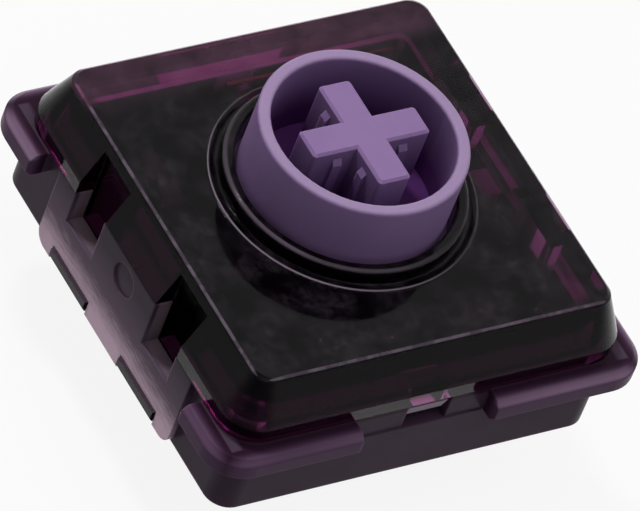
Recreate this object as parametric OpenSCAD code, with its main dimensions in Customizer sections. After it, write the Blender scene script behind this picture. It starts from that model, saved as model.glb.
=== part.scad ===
// Low-profile mechanical key switch: clear cover, two-tone housing, one-piece stem.
// The origin is on the stem's axis in the plane of the circuit board's face. +Z is up,
// -Y is the side with the small cover tab that shows, and the terminals are at +Y.

/* [Bottom housing] */
// Depth of the body, and its width across the two side panels
body_w = 13.8; // [13:0.1:14.4]
// How far the body's corner sides lie behind the side panels
corner_inset = 0.28; // [0.1:0.02:0.4]
// Height of the body's walls above the circuit board
body_h = 2.95; // [2.8:0.05:3.2]
// Thickness of the body's walls
wall_t = 1.0; // [0.8:0.05:1.1]
// Thickness of the floor
floor_t = 0.7; // [0.5:0.05:0.9]
// Radius of the body's upright corners
body_r = 0.75; // [0.5:0.05:1]
// Width of each side panel, along Y
panel_w = 8.5; // [8.2:0.1:9.4]
// Radius of a side panel's bottom corners
panel_r = 0.5; // [0.3:0.05:0.7]
// How far the middle of each side panel rises above the walls
tongue_rise = 0.5; // [0.4:0.05:0.6]
// Height of the locating lip inside the walls' top edge
lip_h = 0.3; // [0.15:0.05:0.4]
// Thickness of the locating lip
lip_t = 0.35; // [0.25:0.05:0.4]
// Diameter of the gate mark on each side panel
gate_d = 1.1; // [0.8:0.1:1.3]
// Depth of the gate mark
gate_depth = 0.08; // [0.04:0.01:0.15]
// How far the gate mark's middle lies below the flanges' top
gate_drop = 0.2; // [0.1:0.05:0.3]
// How far the end walls stand back above the flanges' underside
wall_step = 0.05; // [0.02:0.01:0.08]

/* [Flanges] */
// How far the corner flanges stand out past the body
flange_reach = 0.65; // [0.4:0.05:0.9]
// How far the flanges' top lies below the walls' top edge
flange_drop = 0.04; // [0.02:0.01:0.1]
// Thickness of the flanges
flange_t = 0.86; // [0.7:0.02:0.94]
// Radius of the flanges' outer corners
flange_r = 1.25; // [0.9:0.05:1.5]
// Gap between the flanges along the two panel sides
flange_gap_side = 9.9; // [9:0.1:10.4]
// Gap between the flanges along the front and the back
flange_gap_front = 4.7; // [4:0.1:6]
// How far the gap in the front flanges lies off the middle, along X
flange_gap_shift = -0.3; // [-0.4:0.05:0]
// Bevel along the flanges' top and bottom edges
flange_bevel = 0.2; // [0.1:0.01:0.26]

/* [Posts] */
// Diameter of the centre post
post_d = 4.9; // [4.7:0.05:4.95]
// Length of the centre post below the circuit board's face
post_len = 2.65; // [2.5:0.05:3]
// Chamfer at the centre post's tip
post_chamfer = 0.4; // [0.2:0.05:0.6]
// Diameter of the pocket inside the centre post
pocket_d = 3.5; // [3.4:0.05:3.6]
// Thickness of the pocket's closed end
pocket_floor = 0.7; // [0.5:0.05:0.8]
// Diameter of the pin that centres the spring in the pocket
spring_pin_d = 1.5; // [1.2:0.1:1.6]
// Height of the pin that centres the spring
spring_pin_h = 1.0; // [0.6:0.1:1.05]
// Width of the guide rails that the stem slides on
rail_w = 1.0; // [0.8:0.05:1.2]
// How far the guide rails stand in from the walls
rail_len = 1.9; // [1.7:0.05:2.1]
// Width of the lamp opening in the floor
lamp_w = 4.4; // [3.6:0.1:5]
// Depth of the lamp opening in the floor
lamp_d = 2.2; // [1.8:0.1:2.4]
// Gap between the lamp opening and the front wall
lamp_gap = 0.2; // [0.1:0.05:0.4]

/* [Top cover] */
// Height of the cover's top face above the circuit board
cover_top_z = 5.0; // [4.9:0.05:5.2]
// How far the cover's top face lies in from its rim on each side
cover_slope = 0.73; // [0.6:0.01:0.9]
// Height of the cover's upright rim, from its lower edge to the foot of the slope
cover_rim_h = 0.5; // [0.45:0.05:0.65]
// Thickness of the cover's top plate
cover_plate_t = 0.65; // [0.5:0.05:0.7]
// Corner radius at the cover's rim
cover_foot_r = 1.2; // [0.9:0.1:1.4]
// Corner radius of the cover's top face
cover_top_r = 0.6; // [0.4:0.1:0.8]
// Bevel round the cover's top face
cover_bevel = 0.1; // [0.05:0.01:0.15]
// Width of the collar's foot outside its raised inner ring
collar_foot_w = 0.36; // [0.3:0.02:0.44]
// Thickness of the collar's raised inner ring
collar_ring_t = 0.39; // [0.3:0.01:0.44]
// Height of the collar's foot above the top face
collar_step_h = 0.08; // [0.07:0.01:0.2]
// Height of the collar's inner ring above the top face
collar_h = 0.46; // [0.36:0.02:0.6]
// Depth of the groove between the collar's foot and its inner ring
collar_groove = 0.12; // [0.06:0.02:0.16]

/* [Clips and notches] */
// Distance of the clip legs and the release notches from the middle, along Y
notch_pos = 2.45; // [2.35:0.05:2.5]
// Width of the release notches
notch_w = 1.6; // [1.4:0.05:1.7]
// Height of the release notches' floor
notch_floor_z = 1.78; // [1.6:0.02:2]
// Depth of the release notches, in from the side panel's face
notch_depth = 1.15; // [1:0.05:1.2]
// Height of the strip left between a notch and the top face
notch_strip = 0.33; // [0.2:0.01:0.4]
// Width of the clip legs
leg_w = 2.4; // [2.2:0.05:2.42]
// How deep the clip legs' slots are cut into the wall
leg_wall_cut = 0.4; // [0.3:0.02:0.45]
// Thickness of the clip legs
leg_t = 0.8; // [0.75:0.05:0.83]
// Distance of the hooks from the middle, along Y
hook_pos = 2.2; // [2.2:0.05:2.35]
// Width of the hooks at the ends of the clip legs
hook_w = 2.2; // [1.8:0.05:2.25]
// Height of the hooks
hook_h = 0.4; // [0.3:0.02:0.5]
// How far the hooks stand out past the side panels
hook_proud = 0.1; // [0.05:0.01:0.15]
// Width of the locating tabs at the cover's front and back
tab_w = 1.32; // [1:0.04:1.8]
// Length of the locating tabs below the cover's rim
tab_len = 0.65; // [0.4:0.05:0.8]

/* [Stem] */
// Height of the stem's top above the circuit board, at rest
stem_top_z = 7.45; // [7:0.05:8]
// How far the stem travels
travel = 3.0; // [2.7:0.05:3.1]
// Outer diameter of the stem's dust ring
ring_d = 6.54; // [6.4:0.02:6.6]
// Wall thickness of the dust ring
ring_t = 0.41; // [0.3:0.01:0.5]
// Height of the floor inside the dust ring
cup_floor_z = 4.6; // [4.5:0.05:4.8]
// Length of the cross post along X
cross_x = 4.06; // [3.9:0.02:4.2]
// Length of the cross post along Y
cross_y = 3.94; // [3.8:0.02:4.1]
// Thickness of the arm that runs along Y
cross_arm_y = 1.1; // [1:0.02:1.3]
// Thickness of the arm that runs along X
cross_arm_x = 1.05; // [1:0.02:1.3]
// Bevel round the cross post's top
cross_bevel = 0.08; // [0.04:0.01:0.12]
// Distance of the grip ribs from the stem's axis
grip_pos = 1.15; // [1.05:0.05:1.3]
// How far the grip ribs stand out of the arms
grip_proud = 0.12; // [0.08:0.01:0.2]
// Room between the stem's shoulder plate and each side wall
side_room = 1.5; // [1.4:0.05:1.7]
// Room for the contacts between the stem's shoulder plate and each end wall
end_room = 1.9; // [1.7:0.05:2]
// Outer diameter of the tube under the stem
tube_d = 3.2; // [3.1:0.05:3.25]
// Bore of the tube under the stem
tube_bore_d = 2.7; // [2.66:0.02:2.76]
// Width of the cam that holds the contact leaf back
cam_w = 1.0; // [0.8:0.1:1.2]
// How far the cam stands out of the shoulder plate
cam_len = 1.2; // [1.1:0.02:1.22]
// Distance of the cam from the stem's axis, along X
cam_x = 2.1; // [1.9:0.1:2.4]

/* [Spring] */
// Diameter of the spring's wire
wire_d = 0.22; // [0.18:0.01:0.24]
// Mean diameter of the spring's coils
coil_d = 2.3; // [2.26:0.02:2.32]
// Number of the spring's turns
coil_turns = 9; // [7:1:10]

/* [Contacts] */
// Thickness of the terminals' sheet
sheet_t = 0.25; // [0.2:0.01:0.26]
// Thickness of the moving contact's leaf
leaf_t = 0.12; // [0.08:0.01:0.15]
// Length of the terminals below the circuit board's face
pin_len = 3.0; // [2.6:0.1:3.4]
// Width of the terminals' pins
pin_w = 0.7; // [0.5:0.02:0.74]
// Distance of the moving contact's pin from the side wall
pin_inset = 0.9; // [0.88:0.02:1]
// How far the moving contact's pin stands in front of the fixed contact's pin
pin_step = 2.1; // [2:0.05:2.15]
// Height of the moving contact's leaf
leaf_w = 0.8; // [0.6:0.05:0.9]
// Height of the leaf's lower edge above the floor
leaf_rise = 1.8; // [1.6:0.1:1.9]
// Gap between the leaf and the end wall
leaf_gap = 0.28; // [0.25:0.01:0.3]
// Gap between the fixed contact's plate and the stem's shoulder plate
plate_gap = 0.7; // [0.6:0.02:0.74]
// How far the fixed contact's plate reaches past its contact point
plate_margin = 0.35; // [0.2:0.05:0.4]
// Diameter of the contact points
point_d = 0.7; // [0.5:0.05:0.8]
// Gap between the two contact points, with the stem up
point_gap = 0.18; // [0.12:0.02:0.2]

/* [Clearances] */
// Gap between the stem's ring and the cover's opening
ring_gap = 0.15; // [0.1:0.01:0.2]
// Sliding gap on each side of the guide rails
slide_gap = 0.1; // [0.06:0.01:0.14]
// Gap round a piece that is assembled into its slot
seat_gap = 0.05; // [0.02:0.01:0.06]
// Gap left under the stem when it is pressed all the way
bottom_gap = 0.05; // [0.02:0.01:0.1]
// Gap in the seam between the cover and the walls under it
seam_gap = 0.02; // [0.01:0.01:0.04]

/* [Hidden] */
$fn = 96;

// Colours of the moulded and metal parts
base_color = [0.53, 0.42, 0.56];
cover_color = [0.16, 0.12, 0.16];
stem_color = [0.58, 0.47, 0.68];
copper_color = [0.80, 0.55, 0.38];
steel_color = [0.72, 0.72, 0.74];
silver_color = [0.85, 0.85, 0.83];

// Overlap of joined shapes and overshoot of cuts
lap = 0.2;
// Thickness of the layers that a tapered shape is drawn through
layer = 0.01;

half_w = body_w / 2;
inner_w = body_w - 2 * wall_t;
flange_w = body_w + 2 * flange_reach;
flange_top_z = body_h - flange_drop;
flange_z = flange_top_z - flange_t;
lamp_y = inner_w / 2 - lamp_gap - lamp_d / 2;
cover_top_w = body_w - 2 * cover_slope;
rim_top_z = body_h + cover_rim_h;
tongue_z = body_h + tongue_rise;
tongue_half = notch_pos - notch_w / 2;
plate_z = cover_top_z - cover_plate_t;
panel_skin = wall_t - leg_wall_cut;
leg_out = half_w - panel_skin - seat_gap;
leg_in = leg_out - leg_t;
leg_bottom = 0.06;
hook_bottom = 0.08;
pocket_z = pocket_floor - post_len;
open_r = ring_d / 2 + ring_gap;
collar_ring_r = open_r + collar_ring_t;
collar_foot_r = collar_ring_r + collar_foot_w;
cover_low_z = body_h + seam_gap;
shoulder_z = floor_t + bottom_gap + travel;
shoulder_top = plate_z - layer;
tube_end_gap = 0.15;
tube_z = pocket_z + tube_end_gap + travel;
tube_bore_top = shoulder_z + 0.25;
rail_in = inner_w / 2 - rail_len;
rail_top = shoulder_z + 0.2;

// The contacts stand between the stem's shoulder and the back wall
shoulder_x = inner_w - 2 * side_room;
shoulder_y = inner_w - 2 * end_room;
fixed_pin_y = inner_w / 2;
moving_pin_x = inner_w / 2 - pin_inset;
moving_pin_y = fixed_pin_y - pin_step;
cam_reach = shoulder_y / 2 + cam_len;
ear_y = cam_reach + slide_gap * 0.8;
leaf_y = inner_w / 2 - leaf_gap - leaf_t;
leaf_low = floor_t + leaf_rise;
leaf_high = leaf_low + leaf_w;
fixed_y = shoulder_y / 2 + plate_gap;
point_z = (leaf_low + leaf_high) / 2;
point_t = 0.12;
moving_point_t = leaf_y - fixed_y - sheet_t - point_t - point_gap;

function arc_points(cx, cy, r, a0, a1, n) =
    [for (i = [0:n]) [cx + r * cos(a0 + (a1 - a0) * i / n), cy + r * sin(a0 + (a1 - a0) * i / n)]];

// A rectangle with round corners, centred on the axis
module rounded_square(w, d, r) {
    square([w - 2 * r, d], center = true);
    square([w, d - 2 * r], center = true);
    for (x = [-1, 1], y = [-1, 1])
        translate([x * (w / 2 - r), y * (d / 2 - r)]) circle(r);
}

module slab(w, d, r, z0, z1) {
    translate([0, 0, z0]) linear_extrude(z1 - z0) rounded_square(w, d, r);
}

// A square slab with bevels along its top and bottom edges
module beveled_slab(w, r, z0, z1, bevel) {
    half = w / 2;
    profile = [[half - bevel, z0], [half, z0 + bevel], [half, z1 - bevel], [half - bevel, z1],
               [bevel - half, z1], [-half, z1 - bevel], [-half, z0 + bevel], [bevel - half, z0]];
    for (turn = [0, 90]) rotate([90, 0, turn]) translate([0, 0, r - half])
        linear_extrude(w - 2 * r) polygon(profile);
    for (x = [-1, 1], y = [-1, 1]) translate([x * (half - r), y * (half - r), 0]) rotate_extrude()
        polygon([[0, z0], [r - bevel, z0], [r, z0 + bevel], [r, z1 - bevel], [r - bevel, z1], [0, z1]]);
}

// A box given by its two corners
module box(low, high) {
    translate(low) cube(high - low);
}

// The same shape on both panel sides, drawn for +X
module both_sides() {
    for (side = [0, 1]) mirror([side, 0, 0]) children();
}

// The same shape at the front and at the back, drawn for +Y
module both_ends() {
    for (end = [0, 1]) mirror([0, end, 0]) children();
}

// Bottom housing

module side_panel() {
    translate([half_w - wall_t, 0, 0]) rotate([90, 0, 90]) linear_extrude(wall_t) {
        translate([-panel_w / 2, panel_r]) square([panel_w, body_h - panel_r]);
        translate([-panel_w / 2 + panel_r, 0]) square([panel_w - 2 * panel_r, body_h]);
        for (y = [-1, 1]) translate([y * (panel_w / 2 - panel_r), panel_r]) circle(panel_r);
    }
    box([half_w - wall_t + leg_wall_cut, -tongue_half, body_h - lap], [half_w, tongue_half, tongue_z]);
}

module flanges() {
    difference() {
        beveled_slab(flange_w, flange_r, flange_z, flange_top_z, flange_bevel);
        box([-flange_w, -flange_gap_side / 2, flange_z - lap],
            [flange_w, flange_gap_side / 2, flange_top_z + lap]);
        box([flange_gap_shift - flange_gap_front / 2, -flange_w, flange_z - lap],
            [flange_gap_shift + flange_gap_front / 2, 0, flange_top_z + lap]);
        box([-flange_gap_front / 2, 0, flange_z - lap],
            [flange_gap_front / 2, flange_w, flange_top_z + lap]);
    }
}

module centre_post() {
    translate([0, 0, -post_len + post_chamfer]) cylinder(d = post_d, h = post_len - post_chamfer + floor_t);
    translate([0, 0, -post_len])
        cylinder(d1 = post_d - 2 * post_chamfer, d2 = post_d, h = post_chamfer);
}

module spring_pocket() {
    translate([0, 0, pocket_z]) difference() {
        cylinder(d = pocket_d, h = floor_t - pocket_z + lap);
        translate([0, 0, -lap]) cylinder(d = spring_pin_d, h = spring_pin_h + lap);
    }
}

module guide_rail() {
    box([rail_in, -rail_w / 2, floor_t - lap], [half_w - wall_t + lap, rail_w / 2, rail_top]);
}

// Slots through the floor and the wall for the cover's clip legs and their hooks
module leg_slots() {
    both_ends() {
        box([leg_in - seat_gap, notch_pos - leg_w / 2 - seat_gap, -lap],
            [leg_out + seat_gap, notch_pos + leg_w / 2 + seat_gap, body_h + lip_h + lap]);
        box([leg_in, hook_pos - hook_w / 2 - seat_gap, -lap],
            [half_w + lap, hook_pos + hook_w / 2 + seat_gap, hook_bottom + hook_h + seat_gap]);
        box([leg_in, notch_pos - notch_w / 2, notch_floor_z],
            [half_w + lap, notch_pos + notch_w / 2, tongue_z + lap]);
    }
}

module gate_mark() {
    translate([half_w - gate_depth, 0, flange_top_z - gate_drop]) rotate([0, 90, 0])
        cylinder(d = gate_d, h = gate_depth + lap);
}

module terminal_slots() {
    slot_w = pin_w + 2 * seat_gap;
    slot_t = sheet_t + 2 * seat_gap;
    box([moving_pin_x - slot_w / 2, moving_pin_y - slot_t / 2, -lap],
        [moving_pin_x + slot_w / 2, moving_pin_y + slot_t / 2, floor_t + lap]);
    box([-slot_w / 2, fixed_pin_y - slot_t / 2, -lap],
        [slot_w / 2, fixed_pin_y + slot_t / 2, floor_t + sheet_t + seat_gap]);
}

// Slots in the end walls, open at the top, for the cover's locating tabs
module tab_slots() {
    slot_half = tab_w / 2 + 2 * seat_gap;
    both_ends() box([-slot_half, inner_w / 2 - lap, flange_z - seat_gap],
                    [slot_half, half_w + lap, body_h + lip_h + lap]);
}

// Shallow step in the end walls between the flanges, from their underside up
module end_step() {
    gap_half = flange_gap_front / 2;
    box([flange_gap_shift - gap_half, -half_w - lap, flange_z - seat_gap],
        [flange_gap_shift + gap_half, wall_step - half_w, body_h + lap]);
    box([-gap_half, half_w - wall_step, flange_z - seat_gap], [gap_half, half_w + lap, body_h + lap]);
}

module bottom_housing() {
    color(base_color) difference() {
        union() {
            slab(body_w - 2 * corner_inset, body_w, body_r, 0, body_h);
            both_sides() side_panel();
            flanges();
            slab(inner_w + 2 * lip_t, inner_w + 2 * lip_t, body_r, body_h - lap, body_h + lip_h);
            centre_post();
        }
        difference() {
            slab(inner_w, inner_w, body_r / 2, floor_t, tongue_z + lap);
            both_sides() guide_rail();
        }
        spring_pocket();
        both_sides() leg_slots();
        both_sides() gate_mark();
        terminal_slots();
        tab_slots();
        end_step();
        box([-lamp_w / 2, -lamp_y - lamp_d / 2, -lap], [lamp_w / 2, -lamp_y + lamp_d / 2, floor_t + lap]);
    }
}

// Top cover

module cover_outer() {
    bevel_w = cover_top_w + 2 * cover_bevel;
    hull() {
        slab(body_w, body_w, cover_foot_r, cover_low_z, rim_top_z, $fn = 48);
        slab(bevel_w, bevel_w, cover_top_r, cover_top_z - cover_bevel, cover_top_z - cover_bevel + layer,
             $fn = 48);
        slab(cover_top_w, cover_top_w, cover_top_r, cover_top_z - layer, cover_top_z, $fn = 48);
    }
}

// Stepped collar round the stem: a low foot, a groove and a raised inner ring
module collar() {
    edge = 0.06;
    foot_z = cover_top_z + collar_step_h;
    ring_z = cover_top_z + collar_h;
    rotate_extrude($fn = 128) polygon(concat(
        [[open_r, plate_z], [collar_foot_r, plate_z]],
        arc_points(collar_foot_r - edge, foot_z - edge, edge, 0, 90, 4),
        [[collar_ring_r + edge, foot_z - collar_groove], [collar_ring_r + edge / 2, foot_z]],
        arc_points(collar_ring_r - 2 * edge, ring_z - 2 * edge, 2 * edge, 10, 90, 4),
        [[open_r + edge, ring_z], [open_r, ring_z - edge]]));
}

module clip_leg() {
    both_ends() {
        box([leg_in, notch_pos - leg_w / 2, leg_bottom], [leg_out, notch_pos + leg_w / 2, plate_z + layer]);
        translate([0, hook_pos + hook_w / 2, 0]) rotate([90, 0, 0]) linear_extrude(hook_w)
            polygon([[leg_out - lap, hook_bottom], [half_w, hook_bottom],
                     [half_w + hook_proud, hook_bottom + hook_h / 3],
                     [half_w + hook_proud, hook_bottom + hook_h], [leg_out - lap, hook_bottom + hook_h]]);
    }
}

// Release notch: open to the side, closed above by a sloping ceiling
module release_notch() {
    back_x = half_w - notch_depth;
    step_x = leg_out;
    step = 0.04;
    ceiling_z = cover_top_z - notch_strip;
    both_ends() {
        translate([0, notch_pos + notch_w / 2, 0]) rotate([90, 0, 0]) linear_extrude(notch_w)
            polygon([[back_x, notch_floor_z], [half_w + lap, notch_floor_z], [half_w + lap, ceiling_z],
                     [step_x, ceiling_z], [back_x, plate_z - notch_strip / 2]]);
        box([step_x, notch_pos - notch_w / 2 - step, notch_floor_z],
            [half_w + lap, notch_pos + notch_w / 2 + step, ceiling_z]);
    }
}

// Room for the middle of the side panel, which rises into the cover's rim
module tongue_recess() {
    box([leg_out, -tongue_half - seat_gap, body_h - lap],
        [half_w + lap, tongue_half + seat_gap, tongue_z + seam_gap]);
}

module locating_tab() {
    tab_in = inner_w / 2 + seat_gap;
    both_ends() rotate([90, 0, 90]) translate([0, 0, -tab_w / 2]) linear_extrude(tab_w)
        polygon([[tab_in, body_h + lip_h + lap], [tab_in, body_h - tab_len],
                 [half_w - 0.25, body_h - tab_len], [half_w - 0.05, body_h - 0.06],
                 [half_w - 0.05, body_h + lip_h + lap]]);
}

module top_cover() {
    color(cover_color) difference() {
        union() {
            difference() {
                cover_outer();
                slab(inner_w, inner_w, body_r / 2, body_h - lap, plate_z);
                lip_room = inner_w + 2 * lip_t + 2 * seat_gap;
                slab(lip_room, lip_room, body_r, body_h - lap, body_h + lip_h + seat_gap);
            }
            both_sides() clip_leg();
            locating_tab();
            collar();
        }
        both_sides() release_notch();
        both_sides() tongue_recess();
        translate([0, 0, plate_z - lap]) cylinder(r = open_r, h = collar_h + cover_plate_t + 2 * lap, $fn = 128);
    }
}

// Stem

module dust_ring() {
    ring_r = ring_d / 2;
    edge = ring_t * 0.3;
    rotate_extrude($fn = 128) polygon(concat(
        [[ring_r - ring_t, cup_floor_z - lap], [ring_r, cup_floor_z - lap]],
        arc_points(ring_r - edge, stem_top_z - edge, edge, 0, 90, 5),
        arc_points(ring_r - ring_t + edge, stem_top_z - edge, edge, 90, 180, 5)));
}

module cross_bar(w, d) {
    hull() {
        slab(w, d, 0.12, cup_floor_z - lap, stem_top_z - cross_bevel, $fn = 24);
        slab(w - 2 * cross_bevel, d - 2 * cross_bevel, 0.08, stem_top_z - layer, stem_top_z, $fn = 24);
    }
}

// Upright rib on one side of an arm, with a sloping top, drawn for an arm along X
module grip_rib(arm_half) {
    rib_w = 0.3;
    rib_top = stem_top_z - 0.35;
    translate([grip_pos - rib_w / 2, 0, 0]) rotate([90, 0, 90]) linear_extrude(rib_w)
        polygon([[arm_half - lap, cup_floor_z - lap], [arm_half + grip_proud, cup_floor_z - lap],
                 [arm_half + grip_proud, rib_top - 0.2], [arm_half, rib_top], [arm_half - lap, rib_top]]);
}

module cross_post() {
    cross_bar(cross_x, cross_arm_x);
    cross_bar(cross_arm_y, cross_y);
    both_sides() both_ends() {
        grip_rib(cross_arm_x / 2);
        mirror([1, -1, 0]) grip_rib(cross_arm_y / 2);
    }
}

module shoulder() {
    rail_slot = rail_w / 2 + slide_gap;
    difference() {
        slab(shoulder_x, shoulder_y, 0.6, shoulder_z, shoulder_top);
        both_sides() box([rail_in - slide_gap, -rail_slot, shoulder_z - lap],
                         [shoulder_x, rail_slot, shoulder_top + lap]);
    }
    box([cam_x - cam_w / 2, shoulder_y / 2 - lap, shoulder_z], [cam_x + cam_w / 2, cam_reach, shoulder_top]);
}

module stem() {
    color(stem_color) difference() {
        union() {
            dust_ring();
            translate([0, 0, shoulder_top - lap]) cylinder(d = ring_d, h = cup_floor_z - shoulder_top + lap, $fn = 128);
            cross_post();
            shoulder();
            translate([0, 0, tube_z]) cylinder(d = tube_d, h = shoulder_z - tube_z + lap);
        }
        translate([0, 0, tube_z - lap]) cylinder(d = tube_bore_d, h = tube_bore_top - tube_z + lap);
    }
}

// Return spring: a coil with closed ends, swept along its own helix

module return_spring() {
    sides = 8;
    steps = 20;
    n = coil_turns * steps;
    wire_r = wire_d / 2;
    low = pocket_z + wire_r;
    high = tube_bore_top - wire_r;
    closed = 1.25;
    closed_pitch = wire_d * 1.2;
    rise = high - low - 2 * closed * closed_pitch;
    // Height of the wire's middle after t turns
    function coil_z(t) = t < closed ? low + closed_pitch * t
        : t > coil_turns - closed ? high - closed_pitch * (coil_turns - t)
        : low + closed_pitch * closed + rise * (t - closed) / (coil_turns - 2 * closed);
    points = [for (i = [0:n], s = [0:sides - 1])
        let (turn = 360 * i / steps, a = 360 * s / sides, r = coil_d / 2 + wire_r * cos(a))
        [r * cos(turn), r * sin(turn), coil_z(i / steps) + wire_r * sin(a)]];
    walls = [for (i = [0:n - 1], s = [0:sides - 1])
        let (a = i * sides + s, b = i * sides + (s + 1) % sides)
        [a, b, b + sides, a + sides]];
    start_cap = [[for (s = [sides - 1:-1:0]) s]];
    end_cap = [[for (s = [0:sides - 1]) n * sides + s]];
    color(steel_color) polyhedron(points, concat(walls, start_cap, end_cap), convexity = 10);
}

// Contacts

// Sheet pin below the floor with a pointed tip, its face across Y
module terminal_pin(x, y, top_z) {
    taper = 0.5;
    translate([x, y + sheet_t / 2, 0]) rotate([90, 0, 0]) linear_extrude(sheet_t)
        polygon([[-pin_w / 2, top_z], [-pin_w / 2, -pin_len + taper], [-pin_w / 4, -pin_len],
                 [pin_w / 4, -pin_len], [pin_w / 2, -pin_len + taper], [pin_w / 2, top_z]]);
}

module moving_contact() {
    left = moving_pin_x - pin_w / 2;
    right = moving_pin_x + pin_w / 2;
    tip_x = -0.6;
    ear_w = cam_w - 0.2;
    ear_bend = 0.3;
    color(copper_color) {
        terminal_pin(moving_pin_x, moving_pin_y, floor_t + sheet_t);
        box([left, moving_pin_y - sheet_t / 2, floor_t], [right, leaf_y + leaf_t, floor_t + sheet_t]);
        box([left, leaf_y, floor_t], [right, leaf_y + leaf_t, leaf_high]);
        box([tip_x, leaf_y, leaf_low], [right, leaf_y + leaf_t, leaf_high]);
        translate([cam_x - ear_w / 2, 0, 0]) rotate([90, 0, 90]) linear_extrude(ear_w)
            polygon([[leaf_y, leaf_low], [leaf_y, leaf_high], [ear_y, leaf_high + ear_bend],
                     [ear_y, plate_z - 0.2], [ear_y + leaf_t, plate_z - 0.2],
                     [ear_y + leaf_t, leaf_high + ear_bend], [leaf_y + leaf_t, leaf_high],
                     [leaf_y + leaf_t, leaf_low]]);
    }
}

module fixed_contact() {
    plate_half = point_d / 2 + plate_margin;
    color(copper_color) {
        terminal_pin(0, fixed_pin_y, floor_t + sheet_t);
        box([-pin_w / 2, fixed_y, floor_t], [pin_w / 2, fixed_pin_y + sheet_t / 2, floor_t + sheet_t]);
        box([-plate_half, fixed_y, floor_t], [plate_half, fixed_y + sheet_t, leaf_high + 0.2]);
    }
}

// Contact point: a short round rivet head along Y
module contact_point(y, t) {
    translate([0, y + t, point_z]) rotate([90, 0, 0]) cylinder(d = point_d, h = t, $fn = 48);
}

module moving_contact_point() {
    color(silver_color) contact_point(leaf_y - moving_point_t, moving_point_t);
}

module fixed_contact_point() {
    color(silver_color) contact_point(fixed_y + sheet_t, point_t);
}

bottom_housing();
top_cover();
stem();
return_spring();
moving_contact();
fixed_contact();
moving_contact_point();
fixed_contact_point();
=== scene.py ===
"""Looks of a low-profile mechanical key switch: smoked clear cover, lilac housing and stem."""

import math

import bpy
from mathutils import Matrix, Vector


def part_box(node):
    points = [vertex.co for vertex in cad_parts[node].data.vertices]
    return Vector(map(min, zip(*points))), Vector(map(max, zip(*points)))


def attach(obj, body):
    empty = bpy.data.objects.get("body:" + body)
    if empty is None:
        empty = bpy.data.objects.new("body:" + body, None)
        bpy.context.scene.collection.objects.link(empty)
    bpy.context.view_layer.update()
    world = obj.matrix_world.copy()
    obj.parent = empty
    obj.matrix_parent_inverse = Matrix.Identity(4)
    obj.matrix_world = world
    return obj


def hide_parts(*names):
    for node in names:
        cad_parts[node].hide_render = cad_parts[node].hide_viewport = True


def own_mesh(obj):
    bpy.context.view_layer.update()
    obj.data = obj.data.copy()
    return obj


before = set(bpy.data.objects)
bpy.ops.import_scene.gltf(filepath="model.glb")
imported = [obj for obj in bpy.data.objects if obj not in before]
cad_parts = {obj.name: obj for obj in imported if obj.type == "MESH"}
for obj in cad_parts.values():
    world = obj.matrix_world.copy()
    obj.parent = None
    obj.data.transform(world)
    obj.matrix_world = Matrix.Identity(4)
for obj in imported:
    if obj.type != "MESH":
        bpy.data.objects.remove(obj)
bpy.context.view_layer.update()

MM = 0.001

# Photograph's view
IMAGE_W, IMAGE_H = 640, 511
CAMERA_POS = Vector((-144.1914, -143.4288, 206.5533)) * MM
CAMERA_FORWARD = Vector((0.503561, 0.495596, -0.70768))
CAMERA_UP = Vector((0.192746, 0.734024, 0.651197))
FOCAL_PX = 9670.68
CENTRE_PX = (356.18, 246.75)
SENSOR_W = 36.0
CLIP_NEAR, CLIP_FAR = 0.01, 10.0

# White stage, and its lamps: name, direction, distance, width and watts, lengths in millimetres
FLOOR_Z = -3.05 * MM
FLOOR_SIZE = 3.0
FLOOR_GREY = 0.55
FLOOR_ROUGH = 0.8
FLOOR_GLOW = 0.85
FLOOR_GLOW_STRENGTH = 1.05
WORLD_LEVEL = 0.15
LAMP_AIM_Z = 3
LAMPS = (
    ("key_light", (-0.13, 0.5, 0.86), 150, 24, 0.11),
    ("soft_light", (0.1, -0.25, 1.0), 150, 160, 0.11),
)

# In all materials, places are in millimetres from the stem's axis and the board's face. An EDGE is
# the place where a mask turns over and the width of its blend. A SPAN maps one range to another:
# from, to, value at from, value at to. A GRAIN is a noise: scale, detail, roughness.
CLOUD_SPAN = (0.35, 0.7, 0.0, 1.0)
BEVEL_SAMPLES = 6

# Cover: shine, and the colour that its depth leaves
COVER_IOR = 1.5
COVER_SHINE = (0.06, 0.055, 0.065)
SMUDGE_GRAIN = (0.8, 6.0, 0.62)
SMUDGE_SPAN = (0.3, 0.8, 0.03, 0.13)
ABSORBED = (0.61, 0.31, 0.55)
DENSITY = 3200.0

# Cover: smoked in the middle, with painted light at the back, right and foot and painted shade beside the
# legs
CLEAR = (1.0, 0.78, 0.96)
CLEAR_RIGHT = (0.62, 0.46, 0.6)
DARK_SMOKE_AND_SHADE = (0.09, 0.085, 0.09)
PAINTED_LIGHT_EDGE = (4.7, 1.4)
FRONT_LEFT_EDGE = (-5.9, 0.3)
FOOT_EDGE = (3.25, 0.4)
RIGHT_EDGE = (4.6, 1.2)
LEG_OUT_EDGE = (5.3, 0.2)
LEG_HALF_EDGE = (4.0, 0.3)
LEG_TOP_EDGE = (3.3, 0.2)

# Cover: top face edges, rubbed and with a painted highlight, and painted highlights on the collar's steps:
# radius, half width, lowest height, paleness
TOP_HALF = 6.2
TOP_Z = 5.0
EDGE_WEAR_AND_HIGHLIGHT = 0.22
LINE_EDGE = (0.04, 0.03)
HIGH_EDGE = (TOP_Z - 0.06, 0.02)
BROKEN_GRAIN = (2.2, 3.0, 0.5)
BROKEN_SPAN = (0.4, 0.62, 0.5, 1.0)
COLLAR_HIGHLIGHTS = ((4.17, 0.035, 5.03, 0.45), (3.72, 0.06, 5.4, 0.14))
COLLAR_BLEND = 0.02
LIT_TURN = 0.6
LIT_SPAN = (-4.5, 1.5, 1.0, 0.12)
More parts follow.
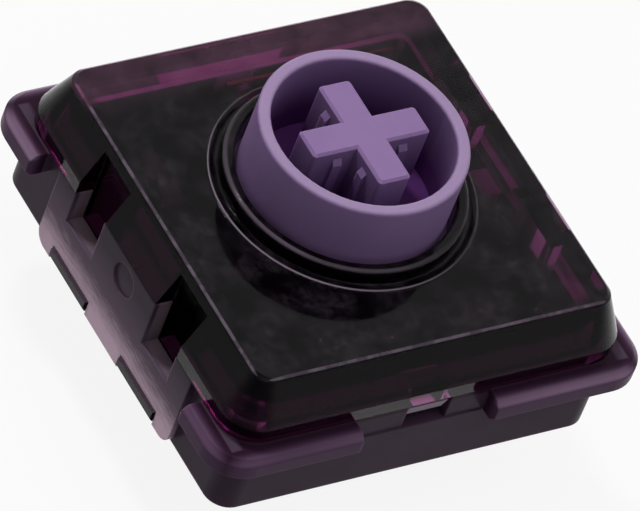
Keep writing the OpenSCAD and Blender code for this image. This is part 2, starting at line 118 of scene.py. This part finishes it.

# Cover: dust on faces that look up; its colour also paints the highlights and the tabs' reflection
DUST_AND_PAINTED_LIGHT = (0.64, 0.50, 0.66)
UP_SPAN = (0.3, 1.0, 0.0, 1.0)
FILM_SPAN = (0.4, 0.66, 0.0, 0.022)
FINE_GRAIN = (3.5, 8.0, 0.75)
FINE_SPAN = (0.4, 0.62, 0.15, 1.6)
SPECK_SCALE = 1.2
SPECK_EDGE = (0.035, 0.02)
SPECK = 0.12

# Cover: painted reflection on the locating tabs, painted glow along the back edge, rounded steps of the
# collar
TAB_OUT_EDGE = (6.2, 0.05)
TAB_TOP_EDGE = (2.8, 0.05)
TAB_PAINTED_REFLECTION = 0.7
PAINTED_GLOW_AND_DUST_BACK = (0.80, 0.34, 0.62)
PAINTED_BACK_GLOW = 0.05
BACK_EDGE = (4.9, 0.9)
BACK_HIGH_EDGE = (4.85, 0.1)
BACK_GRAIN = (0.9, 5.0, 0.6)
BACK_SPAN = (0.35, 0.65, 0.45, 1.2)
COLLAR_OUT_EDGE = (4.5, 0.1)
COLLAR_LOW_EDGE = (4.9, 0.04)
COLLAR_BEVEL = 0.09

# Light under the skin of the two milky plastics
SKIN_DEPTH = (1.0, 0.6, 0.9)

# Housing: walls and inside, with painted shade under the cover and painted light in the notches
# and inside at the back and right
WALL = (0.045, 0.024, 0.046)
WALL_PALE = (0.056, 0.032, 0.058)
SIDE_WALL = (0.066, 0.042, 0.070)
NOTCH_PAINTED_LIGHT = (0.16, 0.115, 0.145)
INSIDE_PAINTED_LIGHT = (0.85, 0.50, 0.78)
SHADE_UNDER_COVER = (0.022, 0.007, 0.019)
WALL_GRAIN = (0.7, 4.0, 0.5)
COVERED_EDGE = (2.75, 0.1)
SIDE_EDGE = (6.6, 0.2)
NOTCH_IN_EDGE = (5.6, 0.1)
NOTCH_OUT_EDGE = (6.85, 0.06)
NOTCH_HALF_EDGE = (3.4, 0.1)
NOTCH_LOW_EDGE = (1.72, 0.04)
INSIDE_OUT_EDGE = (5.85, 0.1)
INSIDE_FROM_EDGE = (3.5, 0.3)

# Housing: side panels, with painted light from below that makes them pale at the foot, brushed there
PANEL_PAINTED_LIGHT = (0.80, 0.58, 0.72)
PANEL_MID = (0.135, 0.09, 0.135)
PANEL_DARK = (0.045, 0.03, 0.048)
BRUSH_SCALE = (1.0, 1.0, 9.0)
BRUSH_TURN = (0.35, 0.0, 0.0)
BRUSH_GRAIN = (1.6, 4.0, 0.65)
BRUSH_SPAN = (0.3, 0.7, -0.22, 0.22)
PANEL_LOW_SPAN = (0.3, 1.6, 0.0, 1.0)
PANEL_HIGH_SPAN = (1.5, 2.9, 0.0, 1.0)
PANEL_OUT_EDGE = (6.75, 0.1)
PANEL_HALF_EDGE = (4.25, 0.15)

# Housing: flanges, darker in painted shade next to the cover, with a painted highlight on the outer
# edge that is faintest at the front left corner
FLANGE = (0.085, 0.042, 0.09)
FLANGE_PAINTED_HIGHLIGHT = (0.24, 0.155, 0.24)
FLANGE_EDGE = (6.95, 0.06)
FLANGE_RIM_SPAN = (7.02, 7.45, 0.0, 1.0)
FLANGE_TOP_EDGE = (2.74, 0.1)
FLANGE_HIGHLIGHT_SPAN = (7.15, 7.5, 0.0, 1.0)
HIGHLIGHT_CORNER_SPAN = (-12.0, -3.0, 0.2, 1.0)

# Housing: surface
HOUSING_SHINE = 0.05
HOUSING_MILK, HOUSING_MILK_DEPTH = 0.2, 0.4
HOUSING_GRAIN = (11.0, 4.0, 0.6)
HOUSING_ROUGH_SPAN = (0.3, 0.7, 0.28, 0.42)
HOUSING_BEVEL = 0.08

# Stem: colours, painted sheen on the rim, painted shade deep in the cup, and surface
STEM = (0.250, 0.155, 0.335)
STEM_PALE = (0.270, 0.170, 0.355)
RIM_PAINTED_SHEEN = (0.33, 0.235, 0.40)
CUP_PAINTED_SHADE = (0.050, 0.002, 0.085)
STEM_CLOUD_GRAIN = (0.5, 3.0, 0.5)
RIM_HIGH_EDGE = (7.4, 0.06)
RIM_IN_EDGE = (2.85, 0.05)
CUP_OUT_EDGE = (2.98, 0.1)
CUP_SPAN = (7.4, 5.3, 0.0, 0.92)
STEM_SHINE = 0.15
STEM_MILK, STEM_MILK_DEPTH = 0.25, 0.6
STEM_GRAIN = (14.0, 4.0, 0.6)
STEM_ROUGH_SPAN = (0.3, 0.7, 0.44, 0.58)
STEM_BUMP = 0.006

# Metals: colour, roughness and grain scale of each, and what they share
COPPER = ((0.72, 0.42, 0.25), 0.35, 6.0)
SILVER = ((0.8, 0.8, 0.78), 0.3, 6.0)
STEEL = ((0.55, 0.55, 0.57), 0.3, 8.0)
METAL_DULL = 0.75
METAL_CLOUD_GRAIN = (1.2, 4.0, 0.5)
METAL_GRAIN_DETAIL = (3.0, 0.5)
METAL_ROUGH_FROM = (0.3, 0.7)
METAL_SMOOTHER, METAL_ROUGHER = 0.06, 0.08
METAL_BUMP = 0.004

# Return spring: wire in millimetres, turns, those closed at each end and their
# pitch in wires, steps in a turn and sides of the wire
SPRING_WIRE = 0.22
SPRING_TURNS = 9
SPRING_CLOSED = 1.25
SPRING_CLOSED_PITCH = 1.2
SPRING_STEPS = 36
SPRING_SIDES = 12


class Graph:
    """Node tree of a material or the world, with short ways to add and link nodes."""

    def __init__(self, tree):
        self.nodes, self.links = tree.nodes, tree.links

    def put(self, value, socket):
        """Link value to socket if it is a socket too, and otherwise set it."""
        if hasattr(value, "links"):
            self.links.new(value, socket)
        else:
            socket.default_value = value

    def add(self, kind, inputs=None, **settings):
        """A new shader node with these inputs and settings."""
        node = self.nodes.new("ShaderNode" + kind)
        for name, value in settings.items():
            setattr(node, name, value)
        for name, value in (inputs or {}).items():
            self.put(value, node.inputs[name])
        return node

    def surface(self, socket):
        self.put(socket, self.nodes["Material Output"].inputs["Surface"])

    def coords(self):
        """Object coordinates in millimetres."""
        vector = self.add("TexCoord").outputs["Object"]
        return self.add("Mapping", {"Vector": vector, "Scale": (1 / MM,) * 3}).outputs["Vector"]

    def split(self, vector):
        return self.add("SeparateXYZ", {"Vector": vector}).outputs

    def noise(self, vector, grain):
        scale, detail, rough = grain
        values = {"Vector": vector, "Scale": scale, "Detail": detail, "Roughness": rough}
        return self.add("TexNoise", values).outputs["Fac"]

    def maths(self, operation, *values):
        node = self.add("Math", operation=operation)
        for socket, value in zip(node.inputs, values):
            self.put(value, socket)
        return node.outputs[0]

    def product(self, first, *others):
        for value in others:
            first = self.maths("MULTIPLY", first, value)
        return first

    def greater(self, a, b):
        return self.maths("MAXIMUM", a, b)

    def distance(self, value, to):
        return self.maths("ABSOLUTE", self.maths("SUBTRACT", value, to))

    def from_axis(self, x, y):
        """Distance from the stem's axis."""
        return self.maths("SQRT", self.maths("ADD", self.product(x, x), self.product(y, y)))

    def span(self, value, span, smooth=False):
        low, high, to_low, to_high = span
        values = {"Value": value, "From Min": low, "From Max": high, "To Min": to_low, "To Max": to_high}
        kind = "SMOOTHSTEP" if smooth else "LINEAR"
        return self.add("MapRange", values, interpolation_type=kind).outputs["Result"]

    def over(self, value, edge):
        """Smooth step from 0 below the edge to 1 above it."""
        where, width = edge
        return self.span(value, (where - width / 2, where + width / 2, 0.0, 1.0), smooth=True)

    def under(self, value, edge):
        """Smooth step from 1 below the edge to 0 above it."""
        return self.maths("SUBTRACT", 1.0, self.over(value, edge))

    def mix(self, factor, a, b):
        """Colour a where factor is 0, and b where it is 1."""
        node = self.add("Mix", {"Factor": factor}, data_type="RGBA")
        for socket, value in ((node.inputs[6], a), (node.inputs[7], b)):
            self.put((*value, 1.0) if isinstance(value, tuple) else value, socket)
        return node.outputs[2]

    def mix_shaders(self, factor, a, b):
        return self.add("MixShader", {"Fac": factor, 1: a, 2: b}).outputs["Shader"]

    def bump(self, height, distance):
        values = {"Height": height, "Strength": 1.0, "Distance": distance * MM}
        return self.add("Bump", values).outputs["Normal"]

    def rounded(self, radius):
        """Normal that rounds the edges off by this radius."""
        return self.add("Bevel", {"Radius": radius * MM}, samples=BEVEL_SAMPLES).outputs["Normal"]


def new_material(name):
    """A new material, its graph and its Principled shader."""
    mat = bpy.data.materials.new(name)
    mat.use_nodes = True
    g = Graph(mat.node_tree)
    return mat, g, g.nodes["Principled BSDF"]


def cover_tint_painted_light(g, x, y, across, along, height):
    """Smoked in the middle, with painted light clearer at the back, at the right and round the foot, and
    painted shade beside the legs.
    """
    inner = g.over(g.maths("MINIMUM", x, y), FRONT_LEFT_EDGE)
    # Painted light: the smoke is clearer along the back and right sides and round the foot
    painted_light_back_right = g.product(inner, g.over(g.greater(x, y), PAINTED_LIGHT_EDGE))
    dark_smoke = g.product(g.maths("SUBTRACT", 1.0, painted_light_back_right), g.over(height, FOOT_EDGE))
    # Painted shade: darker smoke low on the rim beside the legs
    shade_beside_legs = g.product(g.over(across, LEG_OUT_EDGE), g.under(along, LEG_HALF_EDGE),
                            g.under(height, LEG_TOP_EDGE))
    clear = g.mix(g.over(x, RIGHT_EDGE), CLEAR, CLEAR_RIGHT)
    return g.mix(g.greater(dark_smoke, shade_beside_legs), clear, DARK_SMOKE_AND_SHADE)


def cover_wear_and_highlights(g, coords, x, y, outer, radius, height):
    """Top face edges, rubbed and with a painted highlight, and painted highlights on the collar's steps,
    which are palest on the left and front.
    """
    # Pale broken line on the top face's edges: partly rubbed wear, partly painted highlight
    on_edge = g.under(g.distance(outer, TOP_HALF), LINE_EDGE)
    broken = g.span(g.noise(coords, BROKEN_GRAIN), BROKEN_SPAN)
    wear_and_highlight = g.product(on_edge, g.over(height, HIGH_EDGE), broken)
    lit_side = g.span(g.maths("ADD", x, g.product(y, LIT_TURN)), LIT_SPAN, smooth=True)
    # Painted highlights: pale arcs on the collar's steps, strongest on the lit left and front
    for reach, width, low, amount in COLLAR_HIGHLIGHTS:
        highlight_arc = g.product(g.under(g.distance(radius, reach), (width, width)),
                        g.over(height, (low, COLLAR_BLEND)),
                        g.product(lit_side, amount / EDGE_WEAR_AND_HIGHLIGHT))
        wear_and_highlight = g.greater(wear_and_highlight, highlight_arc)
    return g.product(wear_and_highlight, EDGE_WEAR_AND_HIGHLIGHT)


def cover_dust(g, coords, smudge, upward):
    """A thin uneven film and a few specks on faces that look up."""
    film = g.product(g.span(smudge, FILM_SPAN), g.span(g.noise(coords, FINE_GRAIN), FINE_SPAN))
    cells = g.add("TexVoronoi", {"Vector": coords, "Scale": SPECK_SCALE}).outputs["Distance"]
    speck = g.product(g.under(cells, SPECK_EDGE), SPECK)
    return g.product(g.span(upward, UP_SPAN), g.greater(film, speck))


def smoked_clear():
    """Polished clear plastic that swallows light with depth, with dust, rubbed edges and painted
    highlights on top, and painted light and shade in its tint.
    """
    mat, g, shader = new_material("smoked_clear")
    shader.inputs["Transmission Weight"].default_value = 1.0
    shader.inputs["IOR"].default_value = COVER_IOR
    shader.inputs["Specular Tint"].default_value = (*COVER_SHINE, 1.0)
    coords = g.coords()
    x, y, height = g.split(coords)
    across, along = g.maths("ABSOLUTE", x), g.maths("ABSOLUTE", y)
    outer = g.greater(across, along)
    radius = g.from_axis(x, y)
    smudge = g.noise(coords, SMUDGE_GRAIN)
    normal = g.add("NewGeometry").outputs["Normal"]
    g.put(g.span(smudge, SMUDGE_SPAN), shader.inputs["Roughness"])
    g.put(cover_tint_painted_light(g, x, y, across, along, height), shader.inputs["Base Color"])

    # Painted reflection: the locating tabs in the front and back windows are painted pale, in place of the
    # floor seen in their slanted faces
    tab_reflection = g.product(g.over(along, TAB_OUT_EDGE), g.under(height, TAB_TOP_EDGE), TAB_PAINTED_REFLECTION)
    painted_light_and_wear = g.greater(cover_wear_and_highlights(g, coords, x, y, outer, radius, height), tab_reflection)

    # Painted glow: a purple strip along the back edge of the top face, in place of light caught in the
    # back wall
    back_strip = g.product(g.over(y, BACK_EDGE), g.over(height, BACK_HIGH_EDGE))
    streaks = g.span(g.noise(coords, BACK_GRAIN), BACK_SPAN)
    glow = g.product(back_strip, streaks, PAINTED_BACK_GLOW)
    film = g.maths("ADD", cover_dust(g, coords, smudge, g.split(normal)["Z"]), glow)
    # Dust, painted highlights, the tabs' painted reflection and the painted glow share one pale diffuse
    # layer
    painted_light_and_dust = g.add("BsdfDiffuse", {"Color": g.mix(back_strip, DUST_AND_PAINTED_LIGHT, PAINTED_GLOW_AND_DUST_BACK)})
    g.surface(g.mix_shaders(g.greater(film, painted_light_and_wear), shader.outputs["BSDF"], painted_light_and_dust.outputs["BSDF"]))

    # Only the collar's steps are rounded
    on_collar = g.product(g.under(radius, COLLAR_OUT_EDGE), g.over(height, COLLAR_LOW_EDGE))
    turned = {"Factor": on_collar, 4: normal, 5: g.rounded(COLLAR_BEVEL)}
    g.put(g.add("Mix", turned, data_type="VECTOR").outputs[1], shader.inputs["Normal"])

    absorb = g.add("VolumeAbsorption", {"Color": (*ABSORBED, 1.0), "Density": DENSITY})
    g.put(absorb.outputs["Volume"], g.nodes["Material Output"].inputs["Volume"])
    return mat


def milky(g, shader, shine, weight, depth):
    """Shine, and light under the skin down to depth in millimetres."""
    shader.inputs["Specular IOR Level"].default_value = shine
    shader.inputs["Subsurface Weight"].default_value = weight
    shader.inputs["Subsurface Radius"].default_value = SKIN_DEPTH
    shader.inputs["Subsurface Scale"].default_value = depth * MM


def panel_color_painted_light(g, coords, height):
    """Side panel with painted light from below: pale and brushed at the foot, dark at the top."""
    turned = {"Vector": coords, "Scale": BRUSH_SCALE, "Rotation": BRUSH_TURN}
    streaks = g.noise(g.add("Mapping", turned).outputs["Vector"], BRUSH_GRAIN)
    wavy = g.maths("ADD", height, g.span(streaks, BRUSH_SPAN))
    low = g.mix(g.span(wavy, PANEL_LOW_SPAN, smooth=True), PANEL_PAINTED_LIGHT, PANEL_MID)
    return g.mix(g.span(height, PANEL_HIGH_SPAN), low, PANEL_DARK)


def flange_color_painted_light(g, x, y, outer, height):
    # Painted shade: darker towards the cover's foot
    color = g.mix(g.span(outer, FLANGE_RIM_SPAN, smooth=True), SHADE_UNDER_COVER, FLANGE)
    # Painted highlight along the outer top edge, faintest at the front left corner
    painted_highlight = g.product(g.over(height, FLANGE_TOP_EDGE), g.span(outer, FLANGE_HIGHLIGHT_SPAN, smooth=True),
                     g.span(g.maths("ADD", x, y), HIGHLIGHT_CORNER_SPAN))
    return g.mix(painted_highlight, color, FLANGE_PAINTED_HIGHLIGHT)


def housing_plastic():
    """Milky smoked plastic: lilac flanges, dark walls, painted light low on the side panels and painted
    shade under the cover.
    """
    mat, g, shader = new_material("milky_housing")
    coords = g.coords()
    x, y, height = g.split(coords)
    across, along = g.maths("ABSOLUTE", x), g.maths("ABSOLUTE", y)
    outer = g.greater(across, along)

    skin = g.mix(g.span(g.noise(coords, WALL_GRAIN), CLOUD_SPAN), WALL, WALL_PALE)
    # Painted shade: the housing is darkened above the height where the cover stands over it
    skin = g.mix(g.over(height, COVERED_EDGE), skin, SHADE_UNDER_COVER)
    skin = g.mix(g.over(outer, FLANGE_EDGE), skin, flange_color_painted_light(g, x, y, outer, height))
    side = g.product(g.over(across, SIDE_EDGE), g.under(outer, FLANGE_EDGE))
    skin = g.mix(side, skin, SIDE_WALL)
    # Painted light: the notches are paler than the walls round them
    notch_light = g.product(g.over(across, NOTCH_IN_EDGE), g.under(across, NOTCH_OUT_EDGE),
                      g.under(along, NOTCH_HALF_EDGE), g.over(height, NOTCH_LOW_EDGE))
    skin = g.mix(notch_light, skin, NOTCH_PAINTED_LIGHT)
    # Painted light: the inside of the housing is pale towards the back and right
    inside_light = g.product(g.under(outer, INSIDE_OUT_EDGE), g.over(g.greater(x, y), INSIDE_FROM_EDGE))
    skin = g.mix(inside_light, skin, INSIDE_PAINTED_LIGHT)
    # Painted light from below: the side panels are pale at the foot
    on_panel = g.product(g.over(across, PANEL_OUT_EDGE), g.under(along, PANEL_HALF_EDGE))
    g.put(g.mix(on_panel, skin, panel_color_painted_light(g, coords, height)), shader.inputs["Base Color"])

    milky(g, shader, HOUSING_SHINE, HOUSING_MILK, HOUSING_MILK_DEPTH)
    grain = g.noise(coords, HOUSING_GRAIN)
    g.put(g.span(grain, HOUSING_ROUGH_SPAN), shader.inputs["Roughness"])
    g.put(g.rounded(HOUSING_BEVEL), shader.inputs["Normal"])
    return mat


def stem_plastic():
    """Satin lilac plastic with a fine spark-eroded grain, light under the skin, and painted shade deep in
    the cup.
    """
    mat, g, shader = new_material("lilac_stem")
    coords = g.coords()
    x, y, height = g.split(coords)
    radius = g.from_axis(x, y)
    skin = g.mix(g.span(g.noise(coords, STEM_CLOUD_GRAIN), CLOUD_SPAN), STEM, STEM_PALE)
    # Painted sheen: the top of the rim is paler
    rim_sheen = g.product(g.over(height, RIM_HIGH_EDGE), g.over(radius, RIM_IN_EDGE))
    skin = g.mix(rim_sheen, skin, RIM_PAINTED_SHEEN)
    # Painted shade: the cup darkens with depth
    cup_shade = g.product(g.under(radius, CUP_OUT_EDGE), g.span(height, CUP_SPAN))
    g.put(g.mix(cup_shade, skin, CUP_PAINTED_SHADE), shader.inputs["Base Color"])

    milky(g, shader, STEM_SHINE, STEM_MILK, STEM_MILK_DEPTH)
    grain = g.noise(coords, STEM_GRAIN)
    g.put(g.span(grain, STEM_ROUGH_SPAN), shader.inputs["Roughness"])
    g.put(g.bump(grain, STEM_BUMP), shader.inputs["Normal"])
    return mat


def metal(name, color, roughness, grain_scale):
    mat, g, shader = new_material(name)
    coords = g.coords()
    dull = tuple(c * METAL_DULL for c in color)
    cloud = g.span(g.noise(coords, METAL_CLOUD_GRAIN), CLOUD_SPAN)
    g.put(g.mix(cloud, color, dull), shader.inputs["Base Color"])
    shader.inputs["Metallic"].default_value = 1.0
    grain = g.noise(coords, (grain_scale, *METAL_GRAIN_DETAIL))
    rough = (*METAL_ROUGH_FROM, roughness - METAL_SMOOTHER, roughness + METAL_ROUGHER)
    g.put(g.span(grain, rough), shader.inputs["Roughness"])
    g.put(g.bump(grain, METAL_BUMP), shader.inputs["Normal"])
    return mat


def dress(node, mat):
    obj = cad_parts[node]
    obj.data.materials.clear()
    obj.data.materials.append(mat)


def coil_height(turn, low, high):
    """Height of the wire's middle after so many turns: close at both ends, even between."""
    pitch = SPRING_CLOSED_PITCH * SPRING_WIRE * MM
    if turn < SPRING_CLOSED:
        return low + pitch * turn
    if turn > SPRING_TURNS - SPRING_CLOSED:
        return high - pitch * (SPRING_TURNS - turn)
    open_rise = high - low - 2 * SPRING_CLOSED * pitch
    open_turns = SPRING_TURNS - 2 * SPRING_CLOSED
    return low + pitch * SPRING_CLOSED + open_rise * (turn - SPRING_CLOSED) / open_turns


def coil_mesh(name, low, high):
    """Round wire wound up a box between its low and high corners, with the end turns closed."""
    wire = SPRING_WIRE * MM / 2
    radius = (high[0] - low[0]) / 2 - wire
    verts, faces = [], []
    count = SPRING_TURNS * SPRING_STEPS
    for i in range(count + 1):
        turn = 2 * math.pi * i / SPRING_STEPS
        middle = coil_height(i / SPRING_STEPS, low[2] + wire, high[2] - wire)
        for s in range(SPRING_SIDES):
            angle = 2 * math.pi * s / SPRING_SIDES
            reach = radius + wire * math.cos(angle)
            verts.append((reach * math.cos(turn), reach * math.sin(turn), middle + wire * math.sin(angle)))
    for i in range(count):
        for s in range(SPRING_SIDES):
            a = i * SPRING_SIDES + s
            b = i * SPRING_SIDES + (s + 1) % SPRING_SIDES
            faces.append((a, a + SPRING_SIDES, b + SPRING_SIDES, b))
    faces.append(tuple(range(SPRING_SIDES)))
    faces.append(tuple(reversed(range(count * SPRING_SIDES, (count + 1) * SPRING_SIDES))))
    mesh = bpy.data.meshes.new(name)
    mesh.from_pydata(verts, [], faces)
    mesh.validate()
    mesh.shade_smooth()
    return mesh


def add_spring():
    """Return spring, wound as a coil in place of the rigid solid; the real spring shortens as the stem
    goes down.
    """
    low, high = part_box("return_spring")
    mesh = coil_mesh("return_spring_coil", low, high)
    coil = bpy.data.objects.new("return_spring_coil", mesh)
    bpy.context.scene.collection.objects.link(coil)
    coil.data.materials.append(metal("drawn_steel", *STEEL))
    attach(coil, "housing")
    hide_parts("return_spring")
    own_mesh(coil)


def seen_white(g):
    """1 for camera, glossy and transmitted rays, which see the background as white."""
    path = g.add("LightPath").outputs
    return g.greater(g.greater(path["Is Camera Ray"], path["Is Glossy Ray"]), path["Is Transmission Ray"])


def add_world():
    world = bpy.data.worlds.new("studio")
    world.use_nodes = True
    g = Graph(world.node_tree)
    back = g.nodes["Background"]
    back.inputs["Color"].default_value = (1.0, 1.0, 1.0, 1.0)
    g.put(g.span(seen_white(g), (0.0, 1.0, WORLD_LEVEL, 1.0)), back.inputs["Strength"])
    bpy.context.scene.world = world


def add_floor():
    """Floor that glows almost white for the rays that see it, and still takes shadows."""
    bpy.ops.mesh.primitive_plane_add(size=FLOOR_SIZE, location=(0, 0, FLOOR_Z))
    floor = bpy.context.object
    floor.name = "floor"
    mat, g, shader = new_material("white_floor")
    shader.inputs["Base Color"].default_value = (FLOOR_GREY,) * 3 + (1.0,)
    shader.inputs["Roughness"].default_value = FLOOR_ROUGH
    shader.inputs["Specular IOR Level"].default_value = 0.0
    glow = g.add("Emission", {"Strength": FLOOR_GLOW_STRENGTH})
    share = g.span(seen_white(g), (0.0, 1.0, 0.0, FLOOR_GLOW))
    g.surface(g.mix_shaders(share, shader.outputs["BSDF"], glow.outputs["Emission"]))
    floor.data.materials.append(mat)


def add_lamp(name, towards, distance, size, power):
    """A round soft light that looks at the part, distance and size in millimetres."""
    back = Vector(towards).normalized()
    light = bpy.data.lights.new(name, "AREA")
    light.shape = "DISK"
    light.size = size * MM
    light.energy = power
    obj = bpy.data.objects.new(name, light)
    obj.location = back * distance * MM + Vector((0, 0, LAMP_AIM_Z * MM))
    obj.rotation_mode = "QUATERNION"
    obj.rotation_quaternion = (-back).to_track_quat("-Z", "Y")
    bpy.context.scene.collection.objects.link(obj)


def add_camera():
    cam = bpy.data.cameras.new("photo_view")
    cam.sensor_fit = "HORIZONTAL"
    cam.sensor_width = SENSOR_W
    cam.lens = FOCAL_PX * SENSOR_W / IMAGE_W
    cam.shift_x = (IMAGE_W / 2 - CENTRE_PX[0]) / IMAGE_W
    cam.shift_y = (CENTRE_PX[1] - IMAGE_H / 2) / IMAGE_W
    cam.clip_start, cam.clip_end = CLIP_NEAR, CLIP_FAR
    obj = bpy.data.objects.new("photo_view", cam)
    back = -CAMERA_FORWARD.normalized()
    right = CAMERA_UP.cross(back).normalized()
    up = back.cross(right)
    turn = Matrix((right, up, back)).transposed().to_4x4()
    obj.matrix_world = Matrix.Translation(CAMERA_POS) @ turn
    bpy.context.scene.collection.objects.link(obj)
    bpy.context.scene.camera = obj


dress("top_cover", smoked_clear())
dress("bottom_housing", housing_plastic())
dress("stem", stem_plastic())
copper = metal("rolled_copper", *COPPER)
dress("moving_contact", copper)
dress("fixed_contact", copper)
silver = metal("contact_silver", *SILVER)
dress("moving_contact_point", silver)
dress("fixed_contact_point", silver)

add_spring()
add_world()
add_floor()
for lamp in LAMPS:
    add_lamp(*lamp)
add_camera()
bpy.context.scene.view_settings.view_transform = "Standard"
